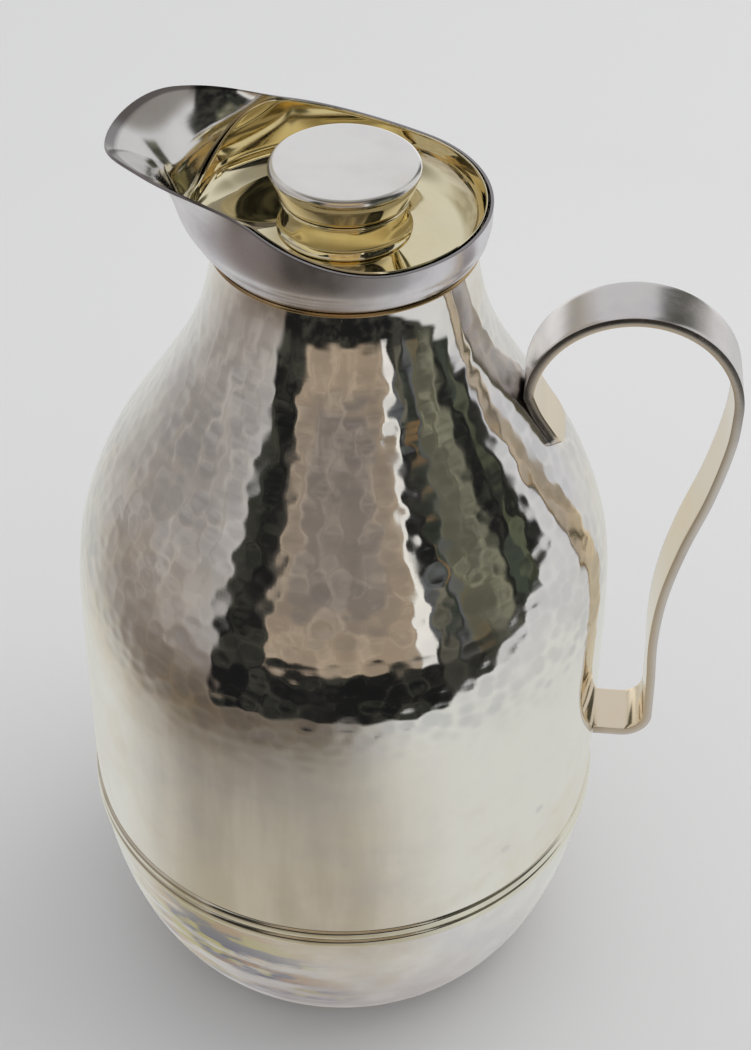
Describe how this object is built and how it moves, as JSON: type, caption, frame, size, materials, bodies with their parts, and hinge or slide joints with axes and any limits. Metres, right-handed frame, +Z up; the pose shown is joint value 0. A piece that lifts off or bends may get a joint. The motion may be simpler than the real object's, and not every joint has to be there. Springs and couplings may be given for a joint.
{
  "type": "insulated jug",
  "caption": "Hammered silver-plated insulated jug with a glass flask, strap handle, broad pouring lip, gilt dish, lift-out stopper and a bottom cup that unscrews.",
  "frame": {"origin": "on the jug's axis, at the underside of the felt pad it stands on", "axes": "+Z up along the jug's axis, +X towards the handle, -X towards the pouring lip"},
  "size_m": [0.1902, 0.1614, 0.2849],
  "materials": {
    "hammered_silver": "silver plate on brass, hammered all over and polished, warm with age",
    "satin_silver": "silver plate on brass, softly polished",
    "collar_silver": "silver plate on brass, satin, lightly tarnished to grey lilac",
    "handle_silver": "silver plate on brass strap, satin",
    "gilt": "pale gold plate, mirror polished",
    "thread_brass": "bare brass, turned",
    "flask_glass": "silvered glass",
    "black_plastic": "moulded, matte",
    "white_rubber": "moulded rubber",
    "steel": "plain steel",
    "felt": "pressed wool felt"
  },
  "bodies": {
    "jug": {"body_shell": "hammered_silver", "shell_bead": "satin_silver", "shell_thread_ring": "thread_brass", "collar_foot_ring": "thread_brass", "pouring_collar": "collar_silver", "pouring_dish": "gilt", "neck_tube": "gilt", "neck_gasket": "white_rubber", "handle_strap": "handle_silver"},
    "flask": {"flask_inner_bulb": "flask_glass", "flask_outer_bulb": "flask_glass", "flask_spacer_pad_1": "white_rubber", "flask_spacer_pad_2": "white_rubber", "flask_spacer_pad_3": "white_rubber", "flask_tip_cap": "white_rubber", "flask_cushion": "white_rubber", "flask_stand": "black_plastic"},
    "base": {"base_cup": "satin_silver", "cup_bead": "satin_silver", "cup_thread_ring": "thread_brass", "base_pad": "felt"},
    "stopper_seal": {"stopper_seal_ring": "white_rubber"},
    "stopper": {"stopper_disc": "satin_silver", "stopper_grip": "gilt", "stopper_bead": "gilt", "stopper_neck": "gilt", "stopper_plug": "black_plastic", "stopper_washer": "steel", "stopper_screw": "steel", "stopper_nut": "steel"}
  },
  "joints": [
    {"name": "stopper_lift", "type": "slide", "parent": "jug", "child": "stopper_seal", "axis": [0, 0, 1], "range_m": [0, 0.12]},
    {"name": "stopper_turn", "type": "hinge", "parent": "stopper_seal", "child": "stopper", "pos_m": [0, 0, 0.27], "axis": [0, 0, 1], "continuous": true},
    {"name": "base_drop", "type": "slide", "parent": "jug", "child": "flask", "axis": [0, 0, -1], "range_m": [0, 0.2]},
    {"name": "base_turn", "type": "hinge", "parent": "flask", "child": "base", "pos_m": [0, 0, 0.03], "axis": [0, 0, 1], "continuous": true}
  ]
}
